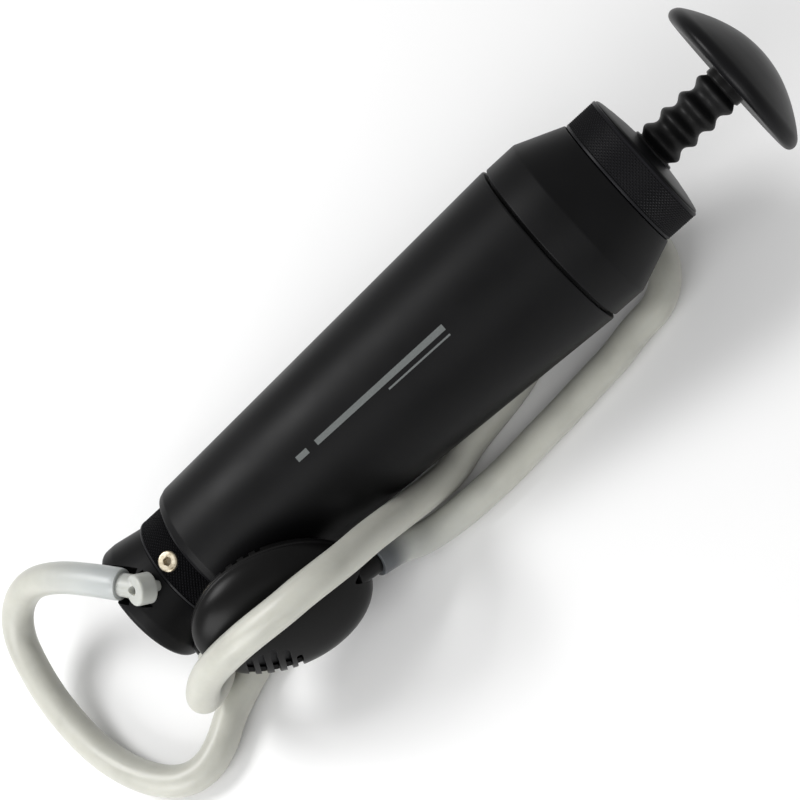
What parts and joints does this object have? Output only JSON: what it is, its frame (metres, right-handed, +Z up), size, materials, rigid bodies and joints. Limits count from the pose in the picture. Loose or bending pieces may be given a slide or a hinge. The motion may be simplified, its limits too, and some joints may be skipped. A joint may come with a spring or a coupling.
{
  "type": "pump water filter",
  "caption": "Hand-pumped water filter for camping: tapered cylindrical body with knurled rings, mushroom handle, hoses and a pebble-shaped strainer, lying on its side.",
  "frame": {"origin": "middle of the pump's own box, without hoses and strainer, on the floor it lies on", "axes": "+X from the foot towards the handle, +Z up; the pump's axis rises 7 degrees from +X; -Y is the side with the hoses and the strainer"},
  "size_m": [0.3102, 0.0887, 0.079],
  "materials": {
    "black_metal": "black anodised, fine satin",
    "knurled_metal": "black anodised, diamond knurl",
    "black_plastic": "moulded, smooth satin",
    "knob_plastic": "moulded, satin",
    "black_rubber": "matt",
    "brass_screw": "worn, dull",
    "milky_hose": "translucent milky, satin",
    "milky_plastic": "translucent milky, satin",
    "steel_rod": "ground",
    "cylinder_metal": "bored, plain",
    "ceramic": "fine matt, porous",
    "white_plastic": "moulded",
    "screen_mesh": "woven mesh"
  },
  "bodies": {
    "root": {"base_foot": "black_metal", "base_ring": "knurled_metal", "lock_screw": "brass_screw", "housing": "black_metal", "base_o_ring": "black_rubber", "inlet_valve_seat": "white_plastic", "pump_cylinder": "cylinder_metal", "element_bottom_seal": "black_rubber", "ceramic_element": "ceramic", "element_top_seal": "black_rubber", "element_retainer": "white_plastic", "cap": "black_metal", "cap_o_ring": "black_rubber", "top_nut": "knurled_metal", "rod_guide_bush": "white_plastic", "rod_seal": "black_rubber", "bellows_ring": "black_plastic", "rod_bellows": "black_rubber", "elbow_connector": "milky_plastic", "inlet_nipple": "black_plastic", "prefilter_shell_front": "black_plastic", "prefilter_shell_back": "black_plastic", "prefilter_screen": "screen_mesh", "prefilter_barb": "black_plastic", "intake_hose": "milky_hose", "outlet_hose": "milky_hose"},
    "rod": {"handle_knob": "knob_plastic", "handle_collar": "black_plastic", "piston_rod": "steel_rod", "piston_head": "white_plastic", "piston_o_ring": "black_rubber", "piston_retainer": "white_plastic"},
    "inlet_flap": {"inlet_valve": "black_rubber"},
    "transfer_flap": {"transfer_valve": "black_rubber"}
  },
  "joints": [
    {"name": "handle_stroke", "type": "slide", "parent": "root", "child": "rod", "axis": [0.9925, 0, 0.1219], "range_m": [-0.012, 0.025], "deforming": ["rod_bellows"]},
    {"name": "inlet_valve_lift", "type": "slide", "parent": "root", "child": "inlet_flap", "axis": [0.9925, 0, 0.1219], "range_m": [0, 0.0015]},
    {"name": "transfer_valve_lift", "type": "slide", "parent": "rod", "child": "transfer_flap", "axis": [0.9925, 0, 0.1219], "range_m": [-0.0015, 0]}
  ]
}
